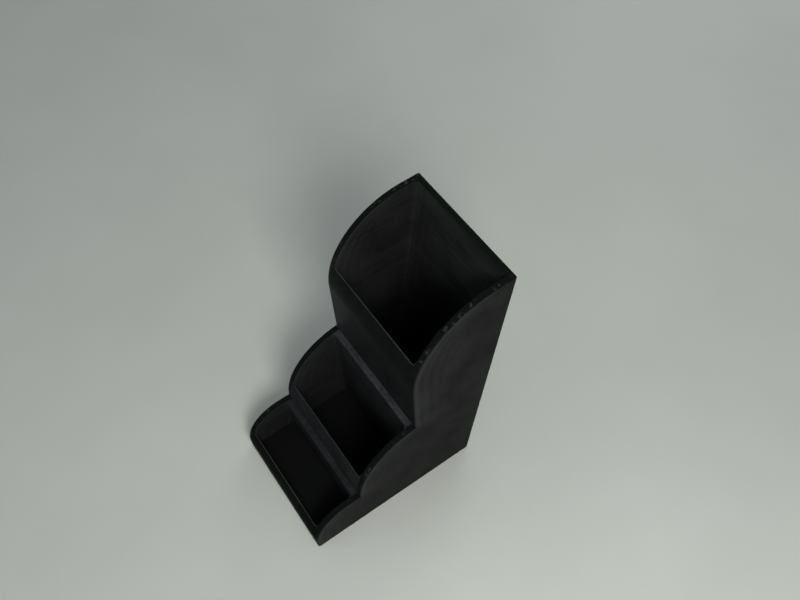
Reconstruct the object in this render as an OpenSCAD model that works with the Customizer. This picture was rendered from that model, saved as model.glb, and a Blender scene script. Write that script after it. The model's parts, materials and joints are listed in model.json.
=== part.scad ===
// Desk holder with three open pockets, one behind the other, in rising steps.
// One printed body. Z is up, X runs from side to side and Y from front to back.
// The origin is on the table, under the middle of the whole outline.

/* [Body] */
// Width from side to side
body_w = 66; // [40:1:160]
// Thickness of the two side walls
side_wall = 3; // [1.6:0.2:6]
// Thickness of the wall in front of each pocket
front_wall = 3; // [1.6:0.2:6]
// Thickness of the wall behind the two lower pockets, whose top is a ledge
ledge_wall = 3; // [1.6:0.2:8]
// Thickness of the back wall, measured square to its face
back_wall = 3; // [1.6:0.2:8]
// Thickness of the floor under the pockets
floor_t = 3; // [1.2:0.2:8]
// Radius of the four upright outer corners
corner_r = 1; // [0.4:0.1:1.5]
// Radius of the upright corners inside the pockets
pocket_r = 2; // [0.4:0.1:3]

/* [Front tier] */
// Depth of the front tier
front_d = 26.5; // [20:0.5:60]
// Height of the front tier
front_h = 26.5; // [20:0.5:50]
// Radius of the front tier's rounded front edge
front_r = 20; // [5:0.5:20]

/* [Middle tier] */
// Depth of the middle tier
middle_d = 32.5; // [20:0.5:60]
// Height of the middle tier
middle_h = 62.5; // [55:0.5:100]
// Radius of the middle tier's rounded front edge
middle_r = 36.5; // [5:0.5:40]

/* [Rear tier] */
// Depth of the rear tier, measured on the table
rear_d = 31; // [22:0.5:60]
// Height of the rear tier
rear_h = 138; // [110:0.5:220]
// Radius of the rear tier's rounded front edge
rear_r = 41; // [5:0.5:50]
// Angle by which the back wall leans away from the upright, in degrees
back_lean = 8; // [0:0.5:15]

/* [Hidden] */
// Each tier from front to rear: depth, height and rounding
tiers = [[front_d, front_h, front_r], [middle_d, middle_h, middle_r], [rear_d, rear_h, rear_r]];
depth_i = 0;
height_i = 1;
round_i = 2;
last = len(tiers) - 1;
// The top of the back wall stands this far behind its foot
lean_run = rear_h * tan(back_lean);
base_d = front_d + middle_d + rear_d;
overall_d = base_d + lean_run;
front_y = -overall_d / 2;
foot_y = front_y + base_d;
pocket_w = body_w - 2 * side_wall;
// Cutting and bounding blocks reach this far past what they cut
spare = 10;
arc_fn = 96;
corner_fn = 32;

// Front face of a tier
function tier_y(i) = i == 0 ? front_y : tier_y(i - 1) + tiers[i - 1][depth_i];
// From the front face of a tier to the top of the back wall
function reach(i) = front_y + overall_d - tier_y(i);
// A rounding may run on under the tier behind, but never past the back wall or the table
function tier_r(i) = min(tiers[i][round_i], reach(i), tiers[i][height_i]);

// Side view of one tier, with Y across and Z up. It runs on to the back, inside the tiers behind it.
module tier_outline(i) {
    r = tier_r(i);
    y = tier_y(i);
    height = tiers[i][height_i];
    difference() {
        translate([y, 0])
            square([reach(i), height]);
        difference() {
            translate([y - spare, height - r])
                square([r + spare, r + spare]);
            translate([y + r, height - r])
                circle(r = r, $fn = arc_fn);
        }
    }
}

// The three steps with their rounded front edges and their rounded upright corners
module stepped_block() {
    for (i = [0 : last])
        intersection() {
            rotate([90, 0, 90])
                linear_extrude(height = body_w, center = true)
                    tier_outline(i);
            upright_block(body_w, tier_y(i), -spare, corner_r);
        }
}

// Plan view of a block whose two corners on the low Y side are rounded. That side lies on y = 0.
module low_rounded(width, depth, r) {
    translate([-width / 2, r])
        square([width, depth - r]);
    translate([r - width / 2, 0])
        square([width - 2 * r, depth]);
    for (side = [-1, 1])
        translate([side * (width / 2 - r), r])
            circle(r = r, $fn = corner_fn);
}

// Block that starts upright at a front face and runs on past the back
module upright_block(width, y, z, r) {
    translate([0, y, z])
        linear_extrude(height = rear_h + 2 * spare)
            low_rounded(width, overall_d + spare, r);
}

// Block that ends at a rear face leaning with the back wall, the inset in front of its outer face
module leaning_block(width, inset, r) {
    translate([0, foot_y, 0])
        rotate([-back_lean, 0, 0])
            translate([0, -inset, -rear_h])
                linear_extrude(height = 3 * rear_h)
                    mirror([0, 1, 0])
                        low_rounded(width, 2 * overall_d, r);
}

// Straight pocket, open at the top, in front of a wall that ends in a ledge
module pocket(i) {
    depth = tiers[i][depth_i] - front_wall - ledge_wall;
    r = min(pocket_r, depth / 3, pocket_w / 3);
    translate([0, tier_y(i) + front_wall, floor_t])
        linear_extrude(height = tiers[i][height_i])
            intersection() {
                low_rounded(pocket_w, depth, r);
                translate([0, depth])
                    mirror([0, 1, 0])
                        low_rounded(pocket_w, depth, r);
            }
}

// Rear pocket, which widens upwards because the back wall leans away
module rear_pocket() {
    intersection() {
        upright_block(pocket_w, tier_y(last) + front_wall, floor_t, pocket_r);
        leaning_block(pocket_w, back_wall, pocket_r);
    }
}

module holder() {
    color("#1b1c1c")
        difference() {
            intersection() {
                stepped_block();
                leaning_block(body_w, 0, corner_r);
            }
            for (i = [0 : last - 1])
                pocket(i);
            rear_pocket();
        }
}

holder();
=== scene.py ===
"""Looks of a stepped holder with three open pockets: one black printed body on a pale table.

The body is built layer by layer. Each rounded front edge is a flight of small steps, as a printer
leaves it, and every wall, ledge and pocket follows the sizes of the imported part.
"""

import json
import math
from collections import namedtuple

import bmesh
import bpy
from mathutils import Matrix, Vector

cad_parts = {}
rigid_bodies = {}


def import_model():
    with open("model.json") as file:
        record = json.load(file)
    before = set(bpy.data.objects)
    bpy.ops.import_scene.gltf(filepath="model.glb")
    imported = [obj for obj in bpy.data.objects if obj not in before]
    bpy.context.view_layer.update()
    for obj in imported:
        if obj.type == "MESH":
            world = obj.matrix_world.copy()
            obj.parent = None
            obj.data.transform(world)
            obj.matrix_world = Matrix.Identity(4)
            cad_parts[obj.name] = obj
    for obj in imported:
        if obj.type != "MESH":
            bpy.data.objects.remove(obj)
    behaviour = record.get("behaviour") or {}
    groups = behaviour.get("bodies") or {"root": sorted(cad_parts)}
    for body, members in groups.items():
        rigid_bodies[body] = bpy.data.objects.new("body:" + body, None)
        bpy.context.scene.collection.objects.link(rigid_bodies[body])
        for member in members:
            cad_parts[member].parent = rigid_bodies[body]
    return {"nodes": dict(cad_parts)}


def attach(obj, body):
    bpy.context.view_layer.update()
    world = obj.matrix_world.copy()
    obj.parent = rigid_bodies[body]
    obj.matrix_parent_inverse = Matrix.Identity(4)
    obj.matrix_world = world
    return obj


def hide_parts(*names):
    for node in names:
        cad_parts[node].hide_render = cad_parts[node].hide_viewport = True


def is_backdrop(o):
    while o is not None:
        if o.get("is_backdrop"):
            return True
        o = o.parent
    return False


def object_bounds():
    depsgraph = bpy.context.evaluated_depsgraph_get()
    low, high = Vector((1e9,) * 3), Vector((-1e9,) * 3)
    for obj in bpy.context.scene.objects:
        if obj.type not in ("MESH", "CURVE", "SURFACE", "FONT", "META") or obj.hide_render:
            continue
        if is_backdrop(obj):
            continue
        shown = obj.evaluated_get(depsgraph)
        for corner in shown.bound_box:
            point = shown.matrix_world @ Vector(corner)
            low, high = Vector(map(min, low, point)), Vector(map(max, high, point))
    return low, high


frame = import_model()
cad_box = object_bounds()

# Sizes of the part in millimetres, as in its source
MM = 0.001
LAYER = 0.25
BODY_W = 66.0
SIDE_WALL = 3.0
FRONT_WALL = 3.0
LEDGE_WALL = 3.0
BACK_WALL = 3.0
FLOOR_T = 3.0
POCKET_R = 2.0
TIER_SIZES = ((26.5, 26.5, 20.0), (32.5, 62.5, 36.5), (31.0, 138.0, 41.0))
BACK_LEAN = math.radians(8)

# Small roundings that a printer leaves
CORNER_R = 1.0
RIM_R = 0.3
CREST_W = 0.42
EDGE_R = 0.25
# Where the middle of a quarter round lies, as a part of its radius from both faces
ROUND_MID = 0.29
# The crest's top stands in and rises by these parts of its width
CREST_IN = 0.25
CREST_RISE = 0.2

# Vertices this close are one, and edges this short are dropped
SAME_POINT = 0.0015
SHORT_EDGE = 0.001
# Edges that turn by more degrees than this stay sharp
SHARP_FROM = 50

# Ripples beside the corners: distance between two, place of one, and how far they carry
RIPPLE_LENGTH = 5.0
RIPPLE_START = 6.4
RIPPLE_REACH = 9.0
# How far the ripples swing, about what mean, and how much they lighten the plastic
RIPPLE_SWING = 0.24
RIPPLE_MEAN = 0.68
RIPPLE_TINT = 0.5

# Width of a line laid on a level face, depth of the surface's fine relief and the lines' part of it
LINE_W = 0.45
RELIEF = 0.04
LINE_PART = 0.35
# Least and greatest roughness, and least and greatest sheen
ROUGHNESS = (0.28, 0.52)
SHEEN = (0.006, 0.032)
# A face counts as level, or as one of the two sides, from this part of its normal on
LEVEL_FROM = 0.7
SIDE_FROM = 0.6
# How much darker the level faces are painted, as painted shade
LEVEL_PAINTED_SHADE = 0.25
# Share of the painted highlight on the low ledge, where the one above it has 1; the smaller share
# is painted shade
LOW_LEDGE_LIT = 0.35
# Painted highlight strip on each crest: depth, reach below and above it, and soft edge
CREST_DEPTH = 0.35
CREST_BELOW = 0.1
CREST_ABOVE = 0.3
CREST_SOFT = 0.1
# Painted glints on the side walls' tops, as small pale specks: width of their strip, the height
# from which there are more, how many more, and the noise values between which a speck fades in
FLECK_W = 2.2
FLECK_HIGH = 105.0
FLECK_MORE = 0.05
FLECK_CUT = (0.62, 0.70)

HALF_W = BODY_W / 2
POCKET_HALF_W = HALF_W - SIDE_WALL
LEDGE_Z = (TIER_SIZES[0][1] + TIER_SIZES[1][1]) / 2
LEDGE_SPAN = TIER_SIZES[1][1] - LEDGE_Z + LAYER
FRONT_Y = cad_box[0].y / MM
TOP_Z = TIER_SIZES[-1][1]
FOOT_Y = FRONT_Y + sum(depth for depth, _, _ in TIER_SIZES)
LEAN = math.tan(BACK_LEAN)
SLANT = 1 / math.cos(BACK_LEAN)
TOP_Y = FOOT_Y + LEAN * TOP_Z

Tier = namedtuple("Tier", "front top radius pocket_front pocket_back steps")
Point = namedtuple("Point", "y z set_y set_z", defaults=(1.0, 1.0))


def layer_steps(front, top, radius, end):
    """Front face and top of every printed layer in a tier's rounded edge, from the lowest up to the
    last one that shows in front of the tier behind."""
    centre_y = front + radius
    found = []
    for k in range(round(radius / LAYER)):
        rise = (k + 0.5) * LAYER
        y = front if k == 0 else centre_y - math.sqrt(radius**2 - rise**2)
        if y < end:
            found.append((y, top - radius + (k + 1) * LAYER))
    return found


def make_tiers():
    """The tiers from front to rear. The rear pocket's back is given at the floor of the tier."""
    tiers, front = [], FRONT_Y
    for depth, top, radius in TIER_SIZES:
        rear = top == TOP_Z
        back = FOOT_Y - BACK_WALL * SLANT if rear else front + depth - LEDGE_WALL
        steps = layer_steps(front, top, radius, TOP_Y if rear else front + depth)
        tiers.append(Tier(front, top, radius, front + FRONT_WALL, back, steps))
        front += depth
    return tiers


TIERS = make_tiers()


def lean_at(z):
    """How far back the leaning wall stands at a height."""
    return LEAN * z


def back_points():
    """The back wall's outer side, from its rounded top edge down to the table."""
    edge = [
        Point(TOP_Y - EDGE_R, TOP_Z, -SLANT),
        Point(TOP_Y - EDGE_R * ROUND_MID, TOP_Z - EDGE_R * ROUND_MID, -SLANT),
        Point(FOOT_Y + lean_at(TOP_Z - EDGE_R), TOP_Z - EDGE_R, -SLANT),
    ]
    return edge + [Point(FOOT_Y, 0.0, -SLANT, 0.0)]


def wall_path():
    """Side view of a side wall, with a point wherever a pocket's corner meets its top."""
    path = [Point(FRONT_Y, 0.0, 1.0, 0.0)]
    marks = []
    for tier in TIERS:
        lift = lean_at(TOP_Z) if tier is TIERS[-1] else 0.0
        reach = POCKET_R * (SLANT if tier is TIERS[-1] else 1.0)
        marks += [tier.pocket_front + POCKET_R, tier.pocket_back + lift - reach]
        for y, top in tier.steps:
            if y != FRONT_Y:
                path.append(Point(y, path[-1].z))
            path.append(Point(y, top))
    path += back_points()
    for mark in marks:
        for i, (a, b) in enumerate(zip(path, path[1:])):
            if a.z == b.z and a.y < mark < b.y:
                path.insert(i + 1, Point(mark, a.z))
                break
    return path


def middle_path(inset, crest, edge):
    """Side view of the body between the side walls, where the pockets' upright faces stand in by
    the inset. The front walls end in a crest that is never thinner than one printed line."""
    path = [Point(FRONT_Y, 0.0)]
    for tier in TIERS:
        rear = tier is TIERS[-1]
        wall_y = tier.pocket_front + inset
        crest_y = wall_y - crest
        crest_z = max(top for y, top in tier.steps if y < wall_y)
        for y, top in tier.steps:
            if y >= tier.pocket_front + POCKET_R:
                break
            shown = y < wall_y
            y = min(y, crest_y) if shown else crest_y
            if tier is not TIERS[0] or path[1:]:
                path.append(Point(y, path[-1].z))
            path.append(Point(y, top if shown else crest_z))
        path.append(Point(crest_y + CREST_IN * crest, crest_z + CREST_RISE * crest))
        path.append(Point(wall_y - CREST_IN * crest, crest_z + CREST_RISE * crest))
        path.append(Point(wall_y, crest_z))
        path.append(Point(wall_y, FLOOR_T))

        foot = tier.pocket_back - inset * (SLANT if rear else 1.0)
        foot_y = foot + (lean_at(FLOOR_T) if rear else 0.0)
        head_y = foot + (lean_at(TOP_Z) if rear else 0.0)
        ledge_z = max(top for y, top in tier.steps if y <= head_y + edge)
        down_y = foot + (lean_at(ledge_z - edge) if rear else 0.0)
        path.append(Point(foot_y, FLOOR_T))
        path.append(Point(down_y, ledge_z - edge))
        path.append(Point(head_y + ROUND_MID * edge, ledge_z - ROUND_MID * edge))
        path.append(Point(head_y + edge, ledge_z))
        for y, top in tier.steps:
            if y > tier.pocket_back - POCKET_R and not rear:
                shown = y > head_y + edge
                path.append(Point(y if shown else head_y + edge, path[-1].z))
                path.append(Point(y if shown else head_y + edge, top if shown else ledge_z))
    return path + back_points()


def rounding(reach, radius):
    """How far a quarter round of that radius has dropped where it still has reach to go."""
    near = max(0.0, radius - reach)
    return radius - math.sqrt(max(0.0, radius**2 - near**2))


def wall_stations():
    """Places across a side wall, closest together where its corner and rim are rounded."""
    corner = [HALF_W - CORNER_R + CORNER_R * math.sin(math.radians(a)) for a in range(0, 60, 15)]
    rim = [HALF_W - RIM_R + RIM_R * math.sin(math.radians(a)) for a in (0, 20, 40, 60, 75, 90)]
    return [POCKET_HALF_W, *corner, *rim]


def wall_rings(side):
    """The side wall's outline at each station, set in where the corner and rim are rounded."""
    outline = wall_path()
    for x in wall_stations():
        back = rounding(HALF_W - x, CORNER_R)
        down = rounding(HALF_W - x, RIM_R)
        yield [(side * x, p.y + back * p.set_y, p.z - down * p.set_z) for p in outline]


def middle_rings():
    """The middle's outline from left to right, with the pockets' rounded corners at both ends."""
    angles = [math.radians(a) for a in range(90, -1, -10)]
    turns = [(-1, a) for a in angles] + [(1, a) for a in reversed(angles)]
    for side, a in turns:
        x = side * (POCKET_HALF_W - POCKET_R + POCKET_R * math.sin(a))
        turn = math.cos(a)
        path = middle_path(POCKET_R * (1 - turn), CREST_W * turn, EDGE_R * turn)
        yield [(x, p.y, p.z) for p in path]


def pocket_sides(side):
    """The flat inner faces of a side wall, one in each pocket."""
    outline = wall_path()
    for tier in TIERS:
        rear = tier is TIERS[-1]
        reach = POCKET_R * (SLANT if rear else 1.0)
        low = tier.pocket_front + POCKET_R
        high = tier.pocket_back - reach + (lean_at(TOP_Z) if rear else 0.0)
        floor_y = tier.pocket_back - reach + (lean_at(FLOOR_T) if rear else 0.0)
        top = [(p.y, p.z) for p in outline if low - 1e-9 <= p.y <= high + 1e-9 and p.z > FLOOR_T]
        face = [(low, FLOOR_T), *top, (floor_y, FLOOR_T)]
        yield [(side * POCKET_HALF_W, y, z) for y, z in face]


def add_rings(bm, rings):
    """Faces between each outline and the next, and the vertices of the last one."""
    rows = [[bm.verts.new(Vector(p) * MM) for p in ring] for ring in rings]
    for a, b in zip(rows, rows[1:]):
        for i in range(len(a)):
            j = (i + 1) % len(a)
            bm.faces.new((a[i], a[j], b[j], b[i]))
    return rows[-1]


def make_body():
    """The whole printed body as one closed mesh."""
    bm = bmesh.new()
    add_rings(bm, middle_rings())
    for side in (-1, 1):
        bm.faces.new(add_rings(bm, wall_rings(side)))
        for face in pocket_sides(side):
            bm.faces.new([bm.verts.new(Vector(p) * MM) for p in face])
    bmesh.ops.remove_doubles(bm, verts=bm.verts, dist=SAME_POINT * MM)
    bmesh.ops.dissolve_degenerate(bm, edges=bm.edges, dist=SHORT_EDGE * MM)
    bmesh.ops.recalc_face_normals(bm, faces=bm.faces)
    mesh = bpy.data.meshes.new("printed_body")
    bm.to_mesh(mesh)
    open_edges = sum(1 for e in bm.edges if len(e.link_faces) != 2)
    print("printed body:", len(bm.faces), "faces,", open_edges, "open edges, volume mm3",
          round(bm.calc_volume() / MM**3))
    bm.free()
    mesh.shade_smooth()
    mesh.set_sharp_from_angle(angle=math.radians(SHARP_FROM))
    body = bpy.data.objects.new("printed_body", mesh)
    bpy.context.scene.collection.objects.link(body)
    return body


def node(tree, kind, place, **inputs):
    """A shader node with its unlinked inputs set by name."""
    made = tree.nodes.new(kind)
    made.location = place
    for name, value in inputs.items():
        made.inputs[name.replace("_", " ")].default_value = value
    return made


def math_node(tree, operation, place, first, second=None):
    """A Math node fed by sockets or plain numbers."""
    made = tree.nodes.new("ShaderNodeMath")
    made.operation = operation
    made.location = place
    for slot, value in enumerate((first, second)):
        if value is None:
            continue
        if isinstance(value, (int, float)):
            made.inputs[slot].default_value = value
        else:
            tree.links.new(value, made.inputs[slot])
    return made.outputs[0]


def map_range(tree, place, value, source, target=(0.0, 1.0)):
    """A Map Range node that takes one span of values to another, and no further."""
    made = node(tree, "ShaderNodeMapRange", place, From_Min=source[0], From_Max=source[1],
                To_Min=target[0], To_Max=target[1])
    tree.links.new(value, made.inputs["Value"])
    return made.outputs[0]


def noise(tree, place, vector, **inputs):
    """The even value of a Noise Texture node."""
    made = node(tree, "ShaderNodeTexNoise", place, **inputs)
    tree.links.new(vector, made.inputs["Vector"])
    return made.outputs["Fac"]


def ramp(tree, place, value, low, high):
    """A Color Ramp node between two stops, each a position and a colour."""
    made = node(tree, "ShaderNodeValToRGB", place)
    for stop, (position, colour) in zip(made.color_ramp.elements, (low, high)):
        stop.position = position
        stop.color = (*colour, 1)
    tree.links.new(value, made.inputs["Fac"])
    return made.outputs[0]


def choose(tree, place, test, first, second):
    """The first socket where the test is 0 and the second where it is 1."""
    made = node(tree, "ShaderNodeMix", place)
    tree.links.new(test, made.inputs[0])
    tree.links.new(first, made.inputs[2])
    tree.links.new(second, made.inputs[3])
    return made.outputs[0]


def behind_outline(tree, y, z):
    """How far behind the stepped outline a point of the side face lies. All is in millimetres."""
    found = None
    low = 0.0
    for k, tier in enumerate(TIERS):
        row = -2000 - 200 * k
        rise = math_node(tree, "MAXIMUM", (-2400, row), math_node(
            tree, "SUBTRACT", (-2600, row), z, tier.top - tier.radius), 0.0)
        drop = math_node(tree, "SQRT", (-1800, row), math_node(
            tree, "MAXIMUM", (-1900, row), math_node(
                tree, "SUBTRACT", (-2000, row), tier.radius**2, math_node(
                    tree, "MULTIPLY", (-2200, row), rise, rise)), 0.0))
        behind = math_node(tree, "ADD", (-1500, row), math_node(
            tree, "SUBTRACT", (-1650, row), y, tier.front + tier.radius), drop)
        above = math_node(tree, "GREATER_THAN", (-1500, row - 100), z, low)
        found = behind if found is None else choose(tree, (-1300, row), above, found, behind)
        low = tier.top
    return found


def ripples(tree, x, y, z, normal):
    """Faint ripples that follow each corner where the print head turned: strong beside the corner
    and fading away from it, on the right face from the front, on the left one from the back."""
    across, along, up = (math_node(tree, "MULTIPLY", (-3000, -2000 - 200 * k), s, 1 / MM)
                         for k, s in enumerate((x, y, z)))
    left = math_node(tree, "SUBTRACT", (-1300, -2800), math_node(
        tree, "ADD", (-1500, -2800), FOOT_Y, math_node(
            tree, "MULTIPLY", (-1700, -2800), up, LEAN)), along)
    to_right = math_node(tree, "GREATER_THAN", (-1300, -3000), normal.outputs[0], 0.0)
    side = choose(tree, (-1000, -2600), to_right, left, behind_outline(tree, along, up))
    turned = math_node(tree, "MULTIPLY", (-1500, -3200), across, math_node(
        tree, "SIGN", (-1700, -3200), normal.outputs[1]))
    end = math_node(tree, "SUBTRACT", (-1300, -3200), HALF_W, turned)
    is_side = math_node(tree, "GREATER_THAN", (-1000, -3000), math_node(
        tree, "ABSOLUTE", (-1150, -3000), normal.outputs[0]), SIDE_FROM)
    gone = choose(tree, (-800, -2800), is_side, end, side)
    fade = math_node(tree, "EXPONENT", (-500, -2900), math_node(
        tree, "MULTIPLY", (-650, -2900), gone, -1 / RIPPLE_REACH))
    wave = math_node(tree, "COSINE", (-500, -2700), math_node(
        tree, "MULTIPLY", (-650, -2700), math_node(
            tree, "SUBTRACT", (-720, -2700), gone, RIPPLE_START), 2 * math.pi / RIPPLE_LENGTH))
    lifted = math_node(tree, "ADD", (-200, -2700), math_node(
        tree, "MULTIPLY", (-350, -2700), wave, RIPPLE_SWING), RIPPLE_MEAN)
    return math_node(tree, "MULTIPLY", (0, -2800), fade, lifted)


def band_mask(tree, place, value, low, high, soft):
    """1 where a value lies between two limits, falling to 0 over the soft distance outside them."""
    column, row = place
    middle, half = (low + high) / 2, (high - low) / 2
    off = math_node(tree, "ABSOLUTE", (column, row), math_node(
        tree, "SUBTRACT", (column - 150, row), value, middle))
    return map_range(tree, (column + 150, row), off, (half, half + soft), (1.0, 0.0))


def painted_crest_highlight(tree, x, y, z):
    """Mask of the painted highlight strip on the narrow crest of each front wall."""
    found = 0.0
    for k, tier in enumerate(TIERS):
        column, row = -3000, -4000 - 300 * k
        top = max(top for step_y, top in tier.steps if step_y < tier.pocket_front)
        deep = band_mask(tree, (column, row), y, (tier.pocket_front - CREST_DEPTH) * MM,
                         tier.pocket_front * MM, CREST_SOFT * MM)
        tall = band_mask(tree, (column, row - 150), z, (top - CREST_BELOW) * MM,
                         (top + CREST_ABOVE) * MM, CREST_SOFT * MM)
        here = math_node(tree, "MULTIPLY", (column + 600, row), deep, tall)
        found = math_node(tree, "MAXIMUM", (column + 800, row), found, here)
    inside = math_node(tree, "LESS_THAN", (-2000, -4000), math_node(
        tree, "ABSOLUTE", (-2150, -4000), x), POCKET_HALF_W * MM)
    return math_node(tree, "MULTIPLY", (-1800, -4000), found, inside)


def painted_glints(tree, place, x, z, level):
    """Mask of painted glints: small pale specks near the outer edge of the side walls' tops, mostly
    high up.
    """
    spots = noise(tree, (-3000, -5000), place, Scale=520.0, Detail=2.0, Roughness=0.5)
    high = math_node(tree, "MULTIPLY", (-2600, -5200), math_node(
        tree, "GREATER_THAN", (-2800, -5200), z, FLECK_HIGH * MM), FLECK_MORE)
    cut = map_range(tree, (-2300, -5000), math_node(
        tree, "ADD", (-2500, -5000), spots, high), FLECK_CUT)
    outer = math_node(tree, "GREATER_THAN", (-2300, -5300), math_node(
        tree, "ABSOLUTE", (-2500, -5300), x), (HALF_W - FLECK_W) * MM)
    return math_node(tree, "MULTIPLY", (-1900, -5000), math_node(
        tree, "MULTIPLY", (-2100, -5000), cut, outer), level)


def painted_ledge_highlight(tree, x, z, level):
    """Mask of the painted highlight on the two ledges between the pockets. The low one gets less of
    it, as painted shade.
    """
    off = math_node(tree, "ABSOLUTE", (-1100, 1300), math_node(
        tree, "SUBTRACT", (-1300, 1300), z, LEDGE_Z * MM))
    between = math_node(tree, "MULTIPLY", (-700, 1300), math_node(
        tree, "LESS_THAN", (-900, 1300), off, LEDGE_SPAN * MM),
        math_node(tree, "LESS_THAN", (-900, 1500), math_node(
            tree, "ABSOLUTE", (-1100, 1500), x), POCKET_HALF_W * MM))
    # The low ledge gets a smaller share of the painted highlight: painted shade
    lit_share = math_node(tree, "ADD", (-900, 1700), math_node(
        tree, "MULTIPLY", (-1100, 1700), math_node(
            tree, "GREATER_THAN", (-1300, 1700), z, LEDGE_Z * MM), 1 - LOW_LEDGE_LIT), LOW_LEDGE_LIT)
    return math_node(tree, "MULTIPLY", (-500, 1300), level, math_node(
        tree, "MULTIPLY", (-600, 1500), between, lit_share))


def black_plastic():
    """Satin black printed plastic: layer lines on upright faces and laid lines on level ones."""
    material = bpy.data.materials.new("black_plastic")
    material.use_nodes = True
    tree = material.node_tree
    shader = tree.nodes["Principled BSDF"]
    link = tree.links.new
    place = node(tree, "ShaderNodeTexCoord", (-1500, 0)).outputs["Object"]
    axes = node(tree, "ShaderNodeSeparateXYZ", (-1300, 0))
    link(place, axes.inputs[0])
    x, y, z = axes.outputs
    facing = node(tree, "ShaderNodeNewGeometry", (-1300, -300))
    normal = node(tree, "ShaderNodeSeparateXYZ", (-1100, -300))
    link(facing.outputs["True Normal"], normal.inputs[0])
    level = math_node(tree, "GREATER_THAN", (-900, -300), math_node(
        tree, "ABSOLUTE", (-1000, -300), normal.outputs[2]), LEVEL_FROM)
    upright = math_node(tree, "SUBTRACT", (-700, -400), 1.0, level)

    # Layer lines run level round every upright face, laid lines slantwise over every level one
    layers = math_node(tree, "SINE", (-900, 200), math_node(
        tree, "MULTIPLY", (-1100, 200), z, 2 * math.pi / (LAYER * MM)))
    laid = math_node(tree, "SINE", (-900, 0), math_node(
        tree, "MULTIPLY", (-1100, 0), math_node(tree, "ADD", (-1200, 0), x, y),
        2 * math.pi / (LINE_W * math.sqrt(2) * MM)))
    lines = math_node(tree, "MULTIPLY", (-600, 100), choose(
        tree, (-700, 100), level, layers, laid), LINE_PART)
    grain = noise(tree, (-900, -500), place, Scale=2600.0, Detail=3.0, Roughness=0.6)
    ripple = math_node(tree, "MULTIPLY", (-500, -500), ripples(tree, x, y, z, normal), upright)
    height = math_node(tree, "ADD", (-400, 0), ripple, math_node(
        tree, "ADD", (-500, 0), lines, grain))
    bump = node(tree, "ShaderNodeBump", (-300, -200), Strength=1.0, Distance=RELIEF * MM)
    link(height, bump.inputs["Height"])
    link(bump.outputs[0], shader.inputs["Normal"])

    # Slow bands up the print, soft clouds and the ripples vary the gloss, the sheen and the black
    stretch = node(tree, "ShaderNodeMapping", (-1100, 500), Scale=(6.0, 6.0, 420.0))
    link(place, stretch.inputs[0])
    band = noise(tree, (-900, 500), stretch.outputs[0], Scale=1.0, Detail=4.0, Roughness=0.7)
    cloud = noise(tree, (-900, 800), place, Scale=60.0, Detail=5.0, Roughness=0.6)
    shade = math_node(tree, "MULTIPLY", (-600, 700), math_node(
        tree, "ADD", (-700, 700), cloud, band), 0.5)
    shade = math_node(tree, "ADD", (-550, 600), shade, math_node(
        tree, "MULTIPLY", (-600, 500), ripple, RIPPLE_TINT))
    # Level faces are painted darker, in colour and sheen: painted shade
    shade = math_node(tree, "SUBTRACT", (-450, 600), shade, math_node(
        tree, "MULTIPLY", (-500, 500), level, LEVEL_PAINTED_SHADE))
    link(map_range(tree, (-500, 500), band, (0.0, 1.0), ROUGHNESS), shader.inputs["Roughness"])
    link(map_range(tree, (-350, 400), shade, (0.35, 1.0), SHEEN),
         shader.inputs["Specular IOR Level"])
    tint = ramp(tree, (-500, 800), shade, (0.3, (0.0046, 0.0049, 0.0048)),
                (1.0, (0.0215, 0.0226, 0.0221)))

    # Painted highlights are paler and lie on the ledges and on each crest strip, painted glints on
    # the side walls' tops; the low ledge gets less, as painted shade
    highlight_grain = noise(tree, (-900, 1100), place, Scale=420.0, Detail=4.0, Roughness=0.6)
    mottle = math_node(tree, "MULTIPLY", (-600, 1000), math_node(
        tree, "ADD", (-700, 1000), cloud, highlight_grain), 0.5)
    pale = ramp(tree, (-500, 1100), mottle, (0.38, (0.0155, 0.0162, 0.0175)),
                (0.62, (0.0365, 0.0380, 0.0405)))
    painted_light_mask = math_node(tree, "MAXIMUM", (-300, 1300), painted_ledge_highlight(tree, x, z, level), math_node(
        tree, "MAXIMUM", (-400, 1500), painted_crest_highlight(tree, x, y, z), painted_glints(tree, place, x, z, level)))
    colour = node(tree, "ShaderNodeMix", (-250, 900))
    colour.data_type = "RGBA"
    link(painted_light_mask, colour.inputs[0])
    link(tint, colour.inputs[6])
    link(pale, colour.inputs[7])
    link(colour.outputs[2], shader.inputs["Base Color"])
    return material


def table_top():
    """Pale grey table surface with a faint mottle."""
    material = bpy.data.materials.new("table_top")
    material.use_nodes = True
    tree = material.node_tree
    shader = tree.nodes["Principled BSDF"]
    place = node(tree, "ShaderNodeTexCoord", (-900, 0)).outputs["Object"]
    mottle = noise(tree, (-700, 0), place, Scale=9.0, Detail=4.0, Roughness=0.6)
    tint = ramp(tree, (-500, 0), mottle, (0.3, (0.375, 0.394, 0.361)),
                (0.7, (0.405, 0.424, 0.391)))
    tree.links.new(tint, shader.inputs["Base Color"])
    shader.inputs["Roughness"].default_value = 0.6
    return material


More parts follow.
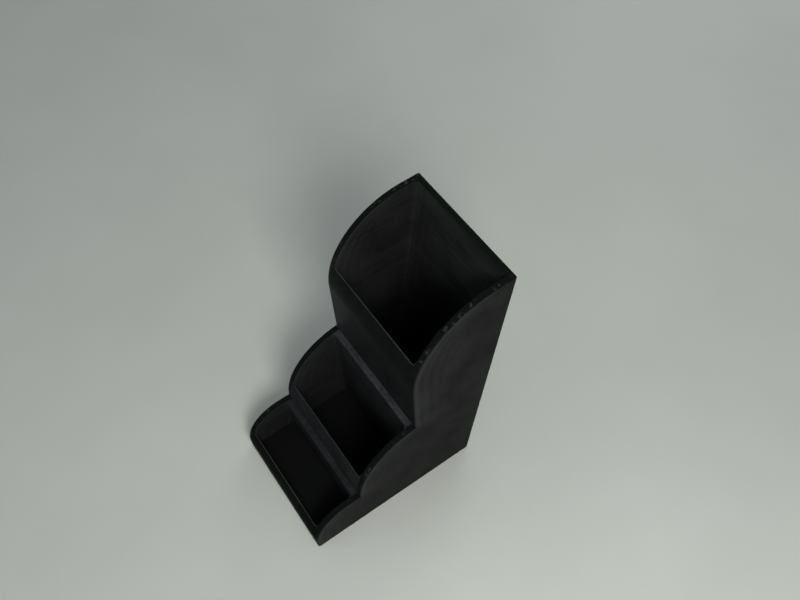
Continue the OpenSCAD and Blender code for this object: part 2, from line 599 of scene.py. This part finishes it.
def make_floor():
    """The table, marked as no part of the object."""
    mesh = bpy.data.meshes.new("table")
    half = 4.0
    corners = [(-half, -half, 0), (half, -half, 0), (half, half, 0), (-half, half, 0)]
    mesh.from_pydata(corners, [], [(0, 1, 2, 3)])
    table = bpy.data.objects.new("table", mesh)
    bpy.context.scene.collection.objects.link(table)
    table.data.materials.append(table_top())
    table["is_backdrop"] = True


def add_lamp(name, place, target, size, power, colour):
    """A square area lamp aimed at a point. Places are in metres and the power in watts."""
    data = bpy.data.lights.new(name, "AREA")
    data.size = size
    data.energy = power
    data.color = colour
    lamp = bpy.data.objects.new(name, data)
    lamp.location = place
    lamp.rotation_euler = (Vector(target) - Vector(place)).to_track_quat("-Z", "Y").to_euler()
    bpy.context.scene.collection.objects.link(lamp)


def add_lights():
    """A soft key from the right, high up, two weak fills and an even light from all round."""
    add_lamp("key", (0.36, -0.09, 0.46), (0.06, 0, 0.0), 0.18, 2.95, (1.0, 0.99, 0.97))
    add_lamp("front_fill", (-0.45, -0.95, 0.40), (0, 0, 0.06), 0.60, 2.2, (0.97, 0.98, 1.0))
    add_lamp("back_fill", (-0.55, 0.85, 0.50), (0, 0, 0.06), 0.60, 3.4, (0.97, 0.98, 1.0))
    world = bpy.data.worlds.new("room")
    world.use_nodes = True
    tree = world.node_tree
    place = node(tree, "ShaderNodeTexCoord", (-900, 0))
    axes = node(tree, "ShaderNodeSeparateXYZ", (-700, 0))
    tree.links.new(place.outputs["Generated"], axes.inputs[0])
    sky = ramp(tree, (-500, 0), axes.outputs[2], (0.0, (0.21, 0.22, 0.222)),
               (0.9, (0.35, 0.365, 0.39)))
    tree.links.new(sky, tree.nodes["Background"].inputs["Color"])
    bpy.context.scene.world = world


def add_camera():
    """The photograph's viewpoint, worked out from the holder's own straight edges."""
    data = bpy.data.cameras.new("camera")
    data.sensor_width = 36.0
    data.lens = 38.878
    data.clip_start = 0.01
    camera = bpy.data.objects.new("camera", data)
    right = Vector((0.569285, 0.821289, -0.03739))
    up = Vector((-0.68218, 0.497265, 0.536057))
    back = Vector((0.458851, -0.279663, 0.843353))
    turn = Matrix((right, up, back)).transposed().to_4x4()
    camera.matrix_world = Matrix.Translation((0.165737, -0.080054, 0.41565)) @ turn
    bpy.context.scene.collection.objects.link(camera)
    bpy.context.scene.camera = camera


body = make_body()
plastic = black_plastic()
body.data.materials.append(plastic)
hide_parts("holder")
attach(body, "root")
for holder in frame["nodes"].values():
    holder.data.materials.clear()
    holder.data.materials.append(plastic)

make_floor()
add_lights()
add_camera()
bpy.context.scene.view_settings.view_transform = "Standard"

boxes = {"cad": cad_box, "visual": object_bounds()}
{name: [list(corner) for corner in box] for name, box in boxes.items()}
